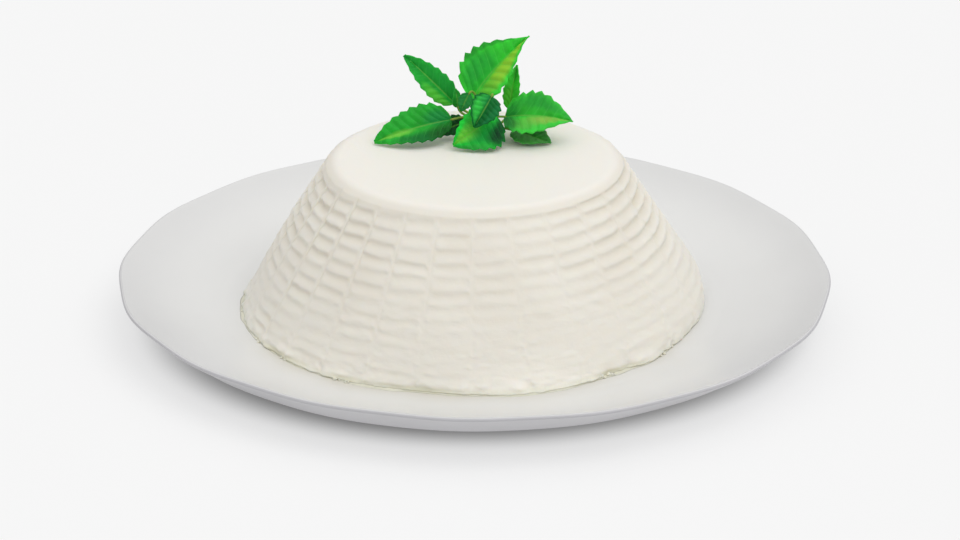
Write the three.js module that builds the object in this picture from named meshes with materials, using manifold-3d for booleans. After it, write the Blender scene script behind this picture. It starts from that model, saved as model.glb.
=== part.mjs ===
// Fresh ricotta turned out of its basket onto a coupe plate, with a sprig of mint on top.
// Millimetres, +Z up. The origin is on the table under the middle of the plate; -Y is the front.
import * as THREE from 'three';
import { mergeVertices } from 'three/addons/utils/BufferGeometryUtils.js';
import Module from 'manifold-3d';

const wasm = await Module();
wasm.setup();

const gap = 0.3; // clearance between pieces that touch

// Plate
const plateRadius = 135;
const plateHeight = 20;
const wellRadius = 92;
const wellHeight = 8;
const footRadius = 86;
const recess = 2.8; // hollow inside the foot ring
const plateSides = 88;
const lobes = [
  { count: 1, height: 0.4, at: 20 },
  { count: 2, height: 0.6, at: -46 },
  { count: 3, height: 0.95, at: -53 },
  { count: 16, height: 0.45, at: -3 },
];

// Ricotta
const cheeseBottom = wellHeight + gap;
const cheeseTop = 65.5;
const cheeseBaseRadius = 87.8;
const cheeseTopRadius = 54.6;
const cheeseBelly = 1.4; // how far the side swells outside a straight cone
const shoulder = { height: 3.2, at: 0, rise: 0.15 }; // where the right side has settled outwards
const topEdgeRadius = 4;
const bottomEdgeRadius = 0.7;
const bulges = [
  { count: 1, height: 1.2, at: -140 },
  { count: 2, height: 1.8, at: -128 },
];
const slumps = [
  { at: -74, wide: 13, reach: 2.8 },
  { at: -104, wide: 8, reach: -1.5 },
  { at: -42, wide: 7, reach: 1.8 },
]; // where the foot has spread or drawn in: angle, degrees to either side, distance
const slumpHeight = 5;

// Print of the basket on the cheese
const ribCount = 27;
const ribStart = -91.1; // angle of the front rib
const ribSpread = 10; // degrees by which the ribs crowd on the left and part on the right
const ribWidth = 2.2; // at its foot: it is a low ridge
const slotCount = 12;
const slotTop = 61.1;
const slotPitch = 4.4;
const slotHeight = 1.9;
const slotDepth = 1.0;
const slotDepthLow = 0.45; // the print is fainter towards the base
const slotClimb = 1.7; // how far the rows rise on the right and drop on the left

// Mint
const stemRadius = 1;
const stemFoot = [3, 21, cheeseTop + gap + 0.1];
const stemHead = [2, 19.6, 77.2];
const stalkRadius = 0.55;
const leafThickness = 0.5;
const toothDepth = 0.08; // share of a leaf's half width
const toothRows = [-0.75, 0.3, 1]; // a tooth leans forwards: notch, back and point
const leaves = [
  {
    name: 'leaf_tall', base: [-1.4, 26.4, 79], tip: [20.4, 27.4, 104], face: [-0.62, -0.75, 0.2],
    width: 22, fold: 20, bow: -1, sweep: -1.8, teeth: 8, taper: 1.2, wave: 0.8, skew: -0.1,
  },
  {
    name: 'leaf_upper_left', base: [-8, 26.2, 77.5], tip: [-27, 29, 95.8], face: [0.1, -0.9, 0.5],
    width: 11, fold: 18, bow: 1, sweep: 0, teeth: 7, taper: 0.85, wave: 0.8,
  },
  {
    name: 'leaf_lower_left', base: [-9, 19, 73.4], tip: [-38.3, 12.5, 66.8], face: [-0.1, -0.7, 0.75],
    width: 16.5, fold: 18, bow: 1.2, sweep: 0.2, teeth: 8, taper: 0.85, wave: 0.8,
  },
  {
    name: 'leaf_front', base: [7.5, 17.6, 76.1], tip: [-8.3, 5.6, 68.1], face: [0.25, -0.75, 0.65],
    width: 18, fold: 12, bow: 1.2, sweep: -0.4, teeth: 7, taper: 0.85, wave: 0.8, skew: -0.22,
  },
  {
    name: 'leaf_right', base: [11.4, 22.2, 73.4], tip: [36.9, 15, 74.2], face: [0.05, -0.6, 0.8],
    width: 21, fold: 22, bow: 2, sweep: 0, teeth: 7, taper: 0.9, wave: 0.8, skew: 0.1,
  },
  {
    name: 'leaf_flat', base: [14.5, 21, 68.3], tip: [28.7, 12.5, 66.4], face: [0, -0.2, 0.98],
    width: 13.5, fold: 6, bow: 0.5, sweep: 0.8, teeth: 5, taper: 0.85, wave: 0.3,
  },
  {
    name: 'leaf_narrow', base: [13.2, 28, 74.3], tip: [16, 31, 91.2], face: [-0.35, -0.9, 0.1],
    width: 6.8, fold: 20, bow: 0.6, sweep: 0, teeth: 6, taper: 0.85, wave: 0.3,
  },
  {
    name: 'leaf_bud_front', base: [6.2, 14.4, 84.3], tip: [-0.4, 7, 74.6], face: [0.1, -0.9, 0.5],
    width: 12.5, fold: 26, bow: 0.8, sweep: 0, teeth: 6, taper: 0.85, wave: 0.3,
  },
  {
    name: 'leaf_bud_left', base: [-6.6, 21.4, 77.5], tip: [-7.6, 21.4, 85], face: [0.3, -0.9, 0.3],
    width: 4.5, fold: 20, bow: 0.4, sweep: 0, teeth: 3, taper: 0.85, wave: 0.3,
  },
  {
    name: 'leaf_centre', base: [-2.2, 16.8, 84.8], tip: [-5.4, 16.4, 77.7], face: [-0.2, -0.9, 0.3],
    width: 5.6, fold: 16, bow: 0.4, sweep: 0, teeth: 4, taper: 0.85, wave: 0.2,
  },
  {
    name: 'leaf_under', base: [-3.5, 21.5, 71.5], tip: [-14.5, 20, 67], face: [-0.2, -0.6, 0.77],
    width: 9, fold: 12, bow: 0.6, sweep: 0, teeth: 5, taper: 0.85, wave: 0.3,
  },
];

const radians = THREE.MathUtils.degToRad;
const mix = THREE.MathUtils.lerp;
const smooth = THREE.MathUtils.smoothstep;

/** Sum of waves round the outline: each has its count of crests, its height and where one crest lies. */
function waves(list, angle) {
  return list.reduce((sum, w) => sum + w.height * Math.cos(w.count * (angle - radians(w.at))), 0);
}

function geometryOf(points, triangles) {
  const geometry = new THREE.BufferGeometry();
  geometry.setAttribute('position', new THREE.Float32BufferAttribute(points.flat(), 3));
  geometry.setIndex(triangles.flat());
  geometry.computeVertexNormals();
  return geometry;
}

/** Closed body through rings of points, each anticlockwise from above, between two centre points. */
function loft(rings, firstCentre, lastCentre) {
  const sides = rings[0].length;
  const points = [...rings.flat(), firstCentre, lastCentre];
  const first = points.length - 2;
  const last = points.length - 1;
  const triangles = [];
  for (let ring = 0; ring < rings.length - 1; ring++) {
    for (let i = 0; i < sides; i++) {
      const next = (i + 1) % sides;
      const a = ring * sides + i;
      const b = ring * sides + next;
      const c = (ring + 1) * sides + i;
      const d = (ring + 1) * sides + next;
      triangles.push([a, b, d], [a, d, c]);
    }
  }
  const end = (rings.length - 1) * sides;
  for (let i = 0; i < sides; i++) {
    const next = (i + 1) % sides;
    triangles.push([first, next, i], [last, end + i, end + next]);
  }
  return geometryOf(points, triangles);
}

/** Half of the plate's section, from inside its foot ring, round the lip, to the edge of the well. */
function plateSection() {
  const foot = [[footRadius - 6, recess], [footRadius - 4, 0], [footRadius, 0], [footRadius + 3, 2.6]];
  const lip = [[118, 7], [plateRadius - 0.3, plateHeight - 1.1], [plateRadius, plateHeight - 0.5]];
  const rim = [[plateRadius - 0.4, plateHeight], [plateRadius - 1.6, plateHeight - 0.2]];
  const inside = [[120, 15], [106, 10.4], [98, 8.5], [wellRadius, wellHeight]];
  return [...foot, ...lip, ...rim, ...inside];
}

function plate() {
  const share = (radius) => smooth(radius, footRadius + 4, plateRadius);
  const rings = plateSection().map(([radius, z]) => Array.from({ length: plateSides }, (_, i) => {
    const angle = (i / plateSides) * 2 * Math.PI;
    const r = radius + waves(lobes, angle) * share(radius);
    return [r * Math.cos(angle), r * Math.sin(angle), z];
  }));
  return loft(rings, [0, 0, recess], [0, 0, wellHeight]);
}

/** Angle of the rib that stands `steps` spacings from the front one. */
function ribAngle(steps) {
  const around = (steps / ribCount) * 2 * Math.PI;
  return radians(ribStart) + around + radians(ribSpread) * (1 - Math.cos(around));
}

/** How far the cheese's foot stands out at an angle. */
function footSlump(angle) {
  return slumps.reduce((sum, s) => {
    const off = THREE.MathUtils.euclideanModulo(THREE.MathUtils.radToDeg(angle) - s.at + 180, 360) - 180;
    return sum + s.reach * Math.exp(-((off / s.wide) ** 2));
  }, 0);
}

/** Radius of the cheese's side at height z, before its print. */
function sideRadius(z, angle) {
  const rise = (z - cheeseBottom) / (cheeseTop - cheeseBottom);
  const cone = mix(cheeseBaseRadius, cheeseTopRadius, rise) + cheeseBelly * Math.sin(Math.PI * rise);
  const near = Math.max(Math.cos(angle - radians(shoulder.at)), 0) ** 2;
  const level = rise / shoulder.rise;
  const swell = shoulder.height * near * level * Math.exp(1 - level);
  const slump = footSlump(angle) * Math.exp((cheeseBottom - z) / slumpHeight);
  return cone + swell + slump + waves(bulges, angle) * (1 - rise) ** 1.5;
}

/** Rings of the side: each has its height, how far it is drawn in, and its share of the slots' depth. */
function cheeseLevels() {
  const levels = [{ z: cheeseBottom, inset: bottomEdgeRadius, slot: 0 }];
  levels.push({ z: cheeseBottom + bottomEdgeRadius, inset: 0, slot: 0 });
  for (let row = slotCount - 1; row >= 0; row--) {
    const z = slotTop - row * slotPitch;
    levels.push({ z: z - slotHeight / 2, inset: 0, slot: 0 });
    levels.push({ z, inset: 0, slot: mix(slotDepth, slotDepthLow, smooth(row, 3, slotCount - 1)) });
    levels.push({ z: z + slotHeight / 2, inset: 0, slot: 0 });
  }
  for (const turn of [35, 65, 90]) {
    const lift = topEdgeRadius * (1 - Math.sin(radians(turn)));
    const inset = topEdgeRadius * (1 - Math.cos(radians(turn)));
    levels.push({ z: cheeseTop - lift, inset, slot: 0 });
  }
  return levels;
}

/** Height of a ring at an angle: the rows of slots climb to the right between the foot and the top edge. */
function climbed(z, angle) {
  const low = smooth(z, cheeseBottom + bottomEdgeRadius, cheeseBottom + 8);
  const high = 1 - smooth(z, slotTop, cheeseTop);
  return z + slotClimb * low * high * Math.cos(angle);
}

function ricotta() {
  const columns = [];
  for (let rib = 0; rib < ribCount; rib++) {
    const half = ribWidth / 2 / 70; // seen from the axis at the cheese's middle radius
    columns.push({ angle: ribAngle(rib), slot: 0 });
    columns.push({ angle: ribAngle(rib) + half, slot: 1 });
    columns.push({ angle: ribAngle(rib + 1) - half, slot: 1 });
  }
  const rings = cheeseLevels().map((level) => columns.map((column) => {
    const z = climbed(level.z, column.angle);
    const r = sideRadius(z, column.angle) - level.inset - level.slot * column.slot;
    return [r * Math.cos(column.angle), r * Math.sin(column.angle), z];
  }));
  return loft(rings, [0, 0, cheeseBottom], [0, 0, cheeseTop]);
}

/** Share of the half width along a leaf: a round base, the widest place, and a drawn-out tip. */
function leafShare(s, taper) {
  const widest = 0.5 / (0.5 + taper);
  const outline = (x) => Math.sqrt(x) * (1 - x) ** taper;
  return outline(s) / outline(widest);
}

/** Thin wavy leaf: rows along the midrib end on the points and notches of its teeth, and both faces match. */
function leaf(shape) {
  const base = new THREE.Vector3(...shape.base);
  const tip = new THREE.Vector3(...shape.tip);
  const along = tip.clone().sub(base).normalize();
  const face = new THREE.Vector3(...shape.face);
  const normal = face.addScaledVector(along, -face.dot(along)).normalize();
  const across = along.clone().cross(normal);
  const crown = base.clone().lerp(tip, 0.5);
  crown.addScaledVector(normal, 2 * shape.bow).addScaledVector(across, 2 * shape.sweep);
  const midrib = new THREE.QuadraticBezierCurve3(base, crown, tip);
  const fold = radians(shape.fold);
  const rows = toothRows.length * shape.teeth;
  const stops = [-1, -0.5, 0, 0.5, 1];

  const pointAt = (row, t, side) => {
    const s = row / rows;
    const tooth = toothDepth * toothRows[row % toothRows.length];
    const share = row > 0 && row < rows ? leafShare(s, shape.taper) * (1 + tooth * Math.abs(t)) : 0;
    const uneven = 1 + (shape.skew ?? 0) * Math.sign(t);
    const half = Math.max((shape.width / 2) * share * uneven, 0.4);
    const ripple = shape.wave * Math.sin(2 * Math.PI * (1.3 * s + (t > 0 ? 0.1 : 0.45))) * t * t;
    const lift = Math.abs(t) * half * Math.sin(fold) + ripple + (side * leafThickness) / 2;
    const point = midrib.getPoint(s);
    return point.addScaledVector(across, t * half * Math.cos(fold)).addScaledVector(normal, lift).toArray();
  };

  const points = [];
  for (const side of [1, -1]) {
    for (let row = 0; row <= rows; row++) {
      for (const t of stops) points.push(pointAt(row, t, side));
    }
  }
  const wide = stops.length;
  const under = (rows + 1) * wide;
  const triangles = [];
  const quad = (a, b, c, d) => triangles.push([a, b, c], [a, c, d]);
  for (let row = 0; row < rows; row++) {
    for (let i = 0; i < wide - 1; i++) {
      const a = row * wide + i;
      const [b, c, d] = [a + 1, a + wide + 1, a + wide];
      quad(a, b, c, d);
      triangles.push([under + a, under + c, under + b], [under + a, under + d, under + c]);
    }
    const left = row * wide;
    const right = left + wide - 1;
    quad(left, left + wide, under + left + wide, under + left);
    quad(right + wide, right, under + right, under + right + wide);
  }
  for (let i = 0; i < wide - 1; i++) {
    const last = rows * wide + i;
    quad(i + 1, i, under + i, under + i + 1);
    quad(last, last + 1, under + last + 1, under + last);
  }
  return geometryOf(points, triangles);
}

function solidOf(geometry) {
  geometry.deleteAttribute('normal');
  geometry.deleteAttribute('uv');
  const merged = mergeVertices(geometry, 1e-4);
  const vertProperties = new Float32Array(merged.attributes.position.array);
  const triVerts = new Uint32Array(merged.index.array);
  return new wasm.Manifold(new wasm.Mesh({ numProp: 3, vertProperties, triVerts }));
}

function geometryFrom(solid) {
  const mesh = solid.getMesh();
  const geometry = new THREE.BufferGeometry();
  geometry.setAttribute('position', new THREE.BufferAttribute(mesh.vertProperties, 3));
  geometry.setIndex(new THREE.BufferAttribute(mesh.triVerts, 1));
  geometry.computeVertexNormals();
  return geometry;
}

function stalk(from, bend, to, radius, sides) {
  const circle = new THREE.Shape(Array.from({ length: sides }, (_, i) => {
    const angle = (i / sides) * 2 * Math.PI;
    return new THREE.Vector2(radius * Math.cos(angle), radius * Math.sin(angle));
  }));
  const extrudePath = new THREE.QuadraticBezierCurve3(from, bend, to);
  return new THREE.ExtrudeGeometry(circle, { steps: 3, bevelEnabled: false, extrudePath });
}

/** Stem with a stalk to each leaf. A stalk comes to its leaf in line with the midrib and ends just short. */
function stem() {
  const foot = new THREE.Vector3(...stemFoot);
  const head = new THREE.Vector3(...stemHead);
  let whole = solidOf(stalk(foot, foot.clone().lerp(head, 0.5), head, stemRadius, 8));
  for (const shape of leaves) {
    const base = new THREE.Vector3(...shape.base);
    const back = base.clone().sub(new THREE.Vector3(...shape.tip)).normalize();
    const bend = base.clone().addScaledVector(back, 0.45 * base.distanceTo(head));
    const height = THREE.MathUtils.clamp((bend.z - foot.z) / (head.z - foot.z), 0.15, 0.93);
    const end = base.addScaledVector(back, gap);
    whole = whole.add(solidOf(stalk(foot.clone().lerp(head, height), bend, end, stalkRadius, 5)));
  }
  return geometryFrom(whole);
}

function piece(name, geometry, material) {
  const mesh = new THREE.Mesh(geometry, new THREE.MeshStandardMaterial(material));
  mesh.name = name;
  return mesh;
}

const ricottaOnPlate = new THREE.Group();
const food = new THREE.Group();
const sprig = new THREE.Group();
ricottaOnPlate.add(piece('plate', plate(), { color: 0xe6e5e2, roughness: 0.18, metalness: 0 }));
food.add(piece('ricotta', ricotta(), { color: 0xf3efe4, roughness: 0.55, metalness: 0 }));
sprig.add(piece('stem', stem(), { color: 0x7da23c, roughness: 0.5, metalness: 0 }));
for (const shape of leaves) {
  sprig.add(piece(shape.name, leaf(shape), { color: 0x3a9a35, roughness: 0.45, metalness: 0 }));
}
food.add(sprig);
ricottaOnPlate.add(food);

export default ricottaOnPlate;
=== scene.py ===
import math
import random

import bmesh
import bpy
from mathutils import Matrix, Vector, noise


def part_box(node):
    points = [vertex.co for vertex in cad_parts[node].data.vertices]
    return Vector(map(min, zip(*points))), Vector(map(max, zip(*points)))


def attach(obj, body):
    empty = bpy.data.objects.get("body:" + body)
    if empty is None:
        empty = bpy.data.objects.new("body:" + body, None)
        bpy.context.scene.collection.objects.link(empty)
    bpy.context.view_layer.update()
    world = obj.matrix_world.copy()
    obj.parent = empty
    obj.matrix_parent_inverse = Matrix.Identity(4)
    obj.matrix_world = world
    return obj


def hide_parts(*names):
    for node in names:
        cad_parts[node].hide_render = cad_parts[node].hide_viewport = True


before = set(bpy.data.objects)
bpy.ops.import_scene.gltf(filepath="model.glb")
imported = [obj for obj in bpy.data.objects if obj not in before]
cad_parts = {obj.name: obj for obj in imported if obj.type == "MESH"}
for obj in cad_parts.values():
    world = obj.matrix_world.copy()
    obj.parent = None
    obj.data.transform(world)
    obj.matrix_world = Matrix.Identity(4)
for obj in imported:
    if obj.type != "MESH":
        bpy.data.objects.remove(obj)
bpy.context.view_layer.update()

mm = 0.001
turn = 2 * math.pi


def clamp(value, low=0.0, high=1.0):
    return max(low, min(high, value))


def smooth(value, low, high):
    share = clamp((value - low) / (high - low))
    return share * share * (3 - 2 * share)


def mix(a, b, share):
    return a + (b - a) * share


def bell(value, width):  # 1 at nought, falling off over the width
    return math.exp(-(value / width) ** 2)


def srgb(red, green, blue):  # screen colour 0-255 to the linear colour that shaders take
    channels = [c / 255 for c in (red, green, blue)]
    return tuple(c / 12.92 if c <= 0.04045 else ((c + 0.055) / 1.055) ** 2.4 for c in channels) + (1.0,)


def palette(settings):  # a piece's colours as shaders take them
    return {name: srgb(*colour) for name, colour in settings["colours"].items()}


def waves(crests, angle):  # each crest is (how many round, height, angle of one of them in degrees)
    return sum(height * math.cos(count * (angle - math.radians(at))) for count, height, at in crests)


def degreesFrom(angle, at):  # how far an angle is from a direction in degrees, -180..180
    return (math.degrees(angle) - at + 180) % 360 - 180


def strengthAt(angle, places):  # each place is (angle in degrees, degrees either side, strength there)
    return sum(strength * bell(degreesFrom(angle, at), wide) for at, wide, strength in places)


def around(radius, angle, z):  # the place that far from the axis, in that direction
    return Vector((radius * math.cos(angle), radius * math.sin(angle), z))


def polar(spot):  # (distance from the axis, direction)
    return math.hypot(spot.x, spot.y), math.atan2(spot.y, spot.x)


def unevenness(place, size, seed):  # soft noise in -1..1, with lumps about size across that the seed moves
    return noise.noise(place / size + Vector((seed * 7.3, seed * 3.1, seed * 5.7)))


class Signal:  # a shader socket that can be used in sums
    def __init__(self, finish, socket):
        self.finish = finish
        self.socket = socket

    def maths(self, operation, *values):
        return self.finish.node("ShaderNodeMath", {"operation": operation}, dict(enumerate(values)))

    def __add__(self, other):
        return self.maths("ADD", self, other)

    def __radd__(self, other):
        return self.maths("ADD", other, self)

    def __sub__(self, other):
        return self.maths("SUBTRACT", self, other)

    def __rsub__(self, other):
        return self.maths("SUBTRACT", other, self)

    def __mul__(self, other):
        return self.maths("MULTIPLY", self, other)

    def __rmul__(self, other):
        return self.maths("MULTIPLY", other, self)

    def __abs__(self):
        return self.maths("ABSOLUTE", self)

    def __mod__(self, other):
        return self.maths("FLOORED_MODULO", self, other)


class Finish:  # a material or a world under construction
    def __init__(self, name, kind="materials"):
        self.block = getattr(bpy.data, kind).new(name)
        self.block.use_nodes = True
        self.tree = self.block.node_tree
        self.tree.nodes.clear()

    def node(self, kind, settings=None, sockets=None, output=0):
        made = self.tree.nodes.new(kind)
        for key, value in (settings or {}).items():
            setattr(made, key, value)
        for key, value in (sockets or {}).items():
            if isinstance(value, Signal):
                self.tree.links.new(value.socket, made.inputs[key])
            else:
                made.inputs[key].default_value = value
        return Signal(self, made.outputs[output] if len(made.outputs) else None)

    def place(self, output="Object"):  # metres
        return self.node("ShaderNodeTexCoord", output=output)

    def split(self, vector, axis):
        return self.node("ShaderNodeSeparateXYZ", sockets={0: vector}, output=axis)

    def stretch(self, place, scale, shift):
        return self.node("ShaderNodeMapping", sockets={"Vector": place, "Scale": scale, "Location": shift})

    def distance(self, place):
        return self.node("ShaderNodeVectorMath", {"operation": "LENGTH"}, {0: place}, output=1)

    def noise(self, place, size, detail=2.0, rough=0.5):  # lumps about size metres across, 0..1
        return self.node("ShaderNodeTexNoise", sockets={
            "Vector": place, "Scale": 1 / size, "Detail": detail, "Roughness": rough,
        })

    def cells(self, place, size):  # nought on the edges between cells about size metres across
        return self.node("ShaderNodeTexVoronoi", {"feature": "DISTANCE_TO_EDGE"},
                         {"Vector": place, "Scale": 1 / size})

    def ramp(self, value, low, high, start=0.0, end=1.0):
        return self.node("ShaderNodeMapRange", {"interpolation_type": "SMOOTHSTEP"},
                         {0: value, 1: low, 2: high, 3: start, 4: end})

    def attribute(self, name):
        return self.node("ShaderNodeAttribute", {"attribute_name": name}, output="Fac")

    def blend(self, share, first, second):
        return self.node("ShaderNodeMix", {"data_type": "RGBA"}, {0: share, 6: first, 7: second}, output=2)

    def bump(self, height, distance, strength):
        return self.node("ShaderNodeBump",
                         sockets={"Height": height, "Distance": distance, "Strength": strength})

    def close(self, sockets):
        shader = self.node("ShaderNodeBsdfPrincipled", sockets=sockets)
        self.node("ShaderNodeOutputMaterial", sockets={"Surface": shader})
        return self.block


def lathe(outline, steps):  # outline of (radius, height) points, spun round Z
    bm = bmesh.new()
    line = [bm.verts.new((radius, 0, height)) for radius, height in outline]
    for lower, upper in zip(line, line[1:]):
        bm.edges.new((lower, upper))
    bmesh.ops.spin(bm, geom=bm.verts[:] + bm.edges[:], cent=(0, 0, 0), axis=(0, 0, 1), dvec=(0, 0, 0),
                   angle=turn, steps=steps, use_merge=True, use_duplicate=False)
    bmesh.ops.remove_doubles(bm, verts=bm.verts, dist=1e-7)
    bmesh.ops.recalc_face_normals(bm, faces=bm.faces)
    return bm


def curveThrough(points, steps):  # smooth curve through a few points
    made = []
    for i in range(len(points) - 1):
        before, start, end, after = (points[clamp(i + k, 0, len(points) - 1)] for k in (-1, 0, 1, 2))
        for step in range(steps):
            t = step / steps
            made.append(tuple(0.5 * (2 * b + (c - a) * t + (2 * a - 5 * b + 4 * c - d) * t * t
                                     + (3 * b - a - 3 * c + d) * t ** 3)
                              for a, b, c, d in zip(before, start, end, after)))
    return made + [points[-1]]


def finishPiece(bm, name, material, nodes=()):
    mesh = bpy.data.meshes.new(name)
    bm.to_mesh(mesh)
    bm.free()
    mesh.shade_smooth()
    mesh.materials.append(material)
    piece = bpy.data.objects.new(name, mesh)
    bpy.context.scene.collection.objects.link(piece)
    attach(piece, "root")
    if nodes:
        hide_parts(*nodes)
    return piece


view = {
    "height": 511.5 * mm,
    "distance": 1180.4 * mm,
    "target": (1.8 * mm, -3.7 * mm, 20.9 * mm),
    "lens": 125.8,  # as the sensor, in the millimetres that cameras take
    "sensor": 36,
    "nearest": 10 * mm,
}


def makeCamera():
    data = bpy.data.cameras.new("camera")
    data.lens = view["lens"]
    data.sensor_width = view["sensor"]
    data.clip_start = view["nearest"]
    camera = bpy.data.objects.new("camera", data)
    camera.location = (0, -view["distance"], view["height"])
    aim = Vector(view["target"]) - camera.location
    camera.rotation_euler = aim.to_track_quat("-Z", "Y").to_euler()
    bpy.context.scene.collection.objects.link(camera)
    bpy.context.scene.camera = camera


makeCamera()
print("camera placed")


cheeseLow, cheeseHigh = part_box("ricotta")
gap = 0.3 * mm  # left between touching solids, and closed here: the curd sits on the plate
wellHeight = cheeseLow[2] - gap

cheese = {
    "baseRadius": 87.8 * mm,
    "topRadius": 54.6 * mm,
    "belly": 1.4 * mm,
    "shoulder": 3.2 * mm,  # the right side has settled outwards
    "shoulderRise": 0.15,
    "topEdge": 4.0 * mm,
    "edgeTurn": 60,  # degrees of the top edge that are rounded
    "edgeSteps": 8,
    "bottomEdge": 0.7 * mm,
    "bottomSteps": 4,
    "bulges": [(1, 1.2 * mm, -140), (2, 1.8 * mm, -128)],
    # Each slump is (angle, degrees either side, distance).
    "slumps": [(-74, 13, 2.8 * mm), (-104, 8, -1.5 * mm), (-42, 7, 1.8 * mm)],
    "slumpHeight": 5 * mm,
    "stepsPerRib": 18,
    "stepsPerSlot": 12,
    # The basket's print: ribs run down the side, and between two ribs stand slots with bars between them.
    "seed": 11,
    "ribs": 27,
    "ribStart": -91.1,  # degrees, of the front one
    "ribSpread": 10,
    "ribBunch": 0.62,  # how much finer the mesh is near the ribs
    "ribSway": 0.35 * mm,
    "ribWidth": 1.6 * mm,
    "ribEdge": 1.1 * mm,  # over which a slot runs out beside a rib
    "ribPress": 0.38,  # how far a rib lies back, as a share of the slots' depth
    "ribNarrows": 0.35,  # the ribs are narrower and fainter on the right
    "ribFades": 0.5,
    "crease": 0.55,  # pressed in beside each rib, as a share of the slots' depth
    "creaseWidth": 0.4 * mm,
    "slots": 12,
    "slotTop": 61.1 * mm,
    "slotPitch": 4.4 * mm,
    "slotDepth": 1.25 * mm,
    "slotClimb": 1.7 * mm,  # the rows rise on the right and drop on the left
    "rowSway": 0.08,  # rows
    "rowWobble": 0.09,
    "barRise": (0.0, 0.5),  # shares of a row over which a bar rises out of one slot and falls into the next
    "barFall": (0.56, 1.0),
    "barLean": 0.2,  # each bar stands out further at its lower edge
    "barPuff": 0.17,  # and swells out in its middle
    # The print wears away between two rows, down to a share of its depth that is higher at the sides.
    "fadeStart": 2.5,
    "fadeEnd": 9.5,
    "faded": 0.2,
    "leftKeeps": 1.5,
    "rightKeeps": 0.5,
    "wearUneven": (0.3, 1.5),  # patches keep this much less or more of it
    "wearSize": 24 * mm,
    # Each worn place is (angle, height, degrees either side, distance above and below, strength).
    "worn": [(-161, 34.5 * mm, 13, 4 * mm, 0.75), (-18, 22 * mm, 45, 11 * mm, 0.5),
             (-82, 18 * mm, 22, 9 * mm, 0.2), (-86, 42 * mm, 26, 9 * mm, 0.15)],
    "frontFaint": 0.66,  # how much fainter the whole print is there
    "frontRightFaint": 0.24,
    "rightCrisp": 0.25,
    # How each window of the print differs: least and most, with levels in rows.
    "cells": {
        "level": (-0.05, 0.05), "tilt": (-0.05, 0.05), "depth": (0.6, 1.35),
        "left": (-0.5 * mm, 0.5 * mm), "right": (-0.5 * mm, 0.5 * mm), "puff": (0.3, 1.2),
    },
    "columnDrop": (-0.04, 0.04),
    # Lumps and tears are layers of (height, size, seed).
    "lumps": [(0.3 * mm, 24 * mm, 1), (0.14 * mm, 6 * mm, 2), (0.07 * mm, 2 * mm, 3)],
    "sideLumps": [(0.11 * mm, 3 * mm, 26)],
    "tears": [(0.8 * mm, 9 * mm, 4), (0.6 * mm, 3.4 * mm, 5), (0.35 * mm, 1.5 * mm, 7)],
    "tornBelow": (1 * mm, 8 * mm),  # above the plate, from all torn to whole
    "curdsBelow": (20 * mm, 40 * mm),  # under the top, from none to all
    "curdHeight": 0.24 * mm,
    "curdSize": 2.6 * mm,
    "curdPatch": 16 * mm,
    "sink": 0.16 * mm,  # the top has sunk a little
    "sinkUneven": 0.14 * mm,
    "flare": 0.5 * mm,  # the curd runs out in a thin skirt where it meets the plate
    "flareHeight": 1.3 * mm,
    # The foot is undercut, wet with whey and darkened with painted shade at each (angle, degrees either side,
    # strength).
    "soaks": [(-103, 10, 0.75), (-143, 8, 0.85), (-121, 6, 0.6), (-54, 7, 0.75), (-78, 12, 0.25),
              (100, 40, 0.3)],
    "soakHeight": 1.7 * mm,
    "undercut": 0.45 * mm,
    # Besides the curd's own colours, these hold painted light low down, and painted shade on the rounded top
    # edge, in the print's recesses and at the foot.
    "colours": {
        "side": (239, 235, 225), "patch": (235, 230, 219), "low": (240, 236, 226), "top": (241, 237, 229),
        "shoulder": (228, 223, 211), "hollow": (222, 214, 194), "foot": (228, 226, 202),
        "soakedShade": (212, 208, 178), "grain": (250, 248, 243),
    },
}


def cheeseSide(z, angle=None):  # radius of the side before its print
    rise = clamp((z - cheeseLow[2]) / (cheeseHigh[2] - cheeseLow[2]))
    cone = mix(cheese["baseRadius"], cheese["topRadius"], rise) + cheese["belly"] * math.sin(math.pi * rise)
    if angle is None:
        return cone
    level = rise / cheese["shoulderRise"]
    swell = cheese["shoulder"] * max(math.cos(angle), 0) ** 2 * level * math.exp(1 - level)
    slump = strengthAt(angle, cheese["slumps"]) * math.exp(-max(z - cheeseLow[2], 0) / cheese["slumpHeight"])
    return cone + swell + slump + waves(cheese["bulges"], angle) * (1 - rise) ** 1.5


def cheeseOutline():
    top, edge, foot = cheeseHigh[2], cheese["topEdge"], cheese["bottomEdge"]
    rim = cheeseSide(top) - edge
    outline = [(rim * share, top) for share in (0, 0.15, 0.3, 0.45, 0.6, 0.72, 0.82, 0.9, 0.96)]
    for step in range(cheese["edgeSteps"] + 1):
        bend = math.radians(90 - cheese["edgeTurn"] * step / cheese["edgeSteps"])
        z = top - edge * (1 - math.sin(bend))
        outline.append((cheeseSide(z) - edge * (1 - math.cos(bend)), z))
    z = outline[-1][1]
    fine = cheese["slotPitch"] / cheese["stepsPerSlot"]
    while z - fine > wellHeight + foot:
        z -= fine
        outline.append((cheeseSide(z), z))
    for step in range(cheese["bottomSteps"] + 1):
        bend = math.radians(90 * step / cheese["bottomSteps"])
        radius = cheeseSide(wellHeight) - foot * (1 - math.cos(bend))
        outline.append((radius, wellHeight + foot * (1 - math.sin(bend))))
    outline += [(cheese["baseRadius"] * share, wellHeight) for share in (0.9, 0.5, 0)]
    return outline


def columnAt(spot):  # (the column between two ribs where a point of the round mesh goes, how far across it)
    steps = (math.atan2(spot.y, spot.x) % turn) / turn * cheese["ribs"] + 1e-6
    part = steps % 1
    return int(steps) % cheese["ribs"], part - cheese["ribBunch"] * math.sin(turn * part) / turn


def columnAngle(steps):  # angle of a rib, or of a point between two, counted from the front one
    even = steps / cheese["ribs"] * turn
    return math.radians(cheese["ribStart"]) + even + math.radians(cheese["ribSpread"]) * (1 - math.cos(even))


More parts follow.
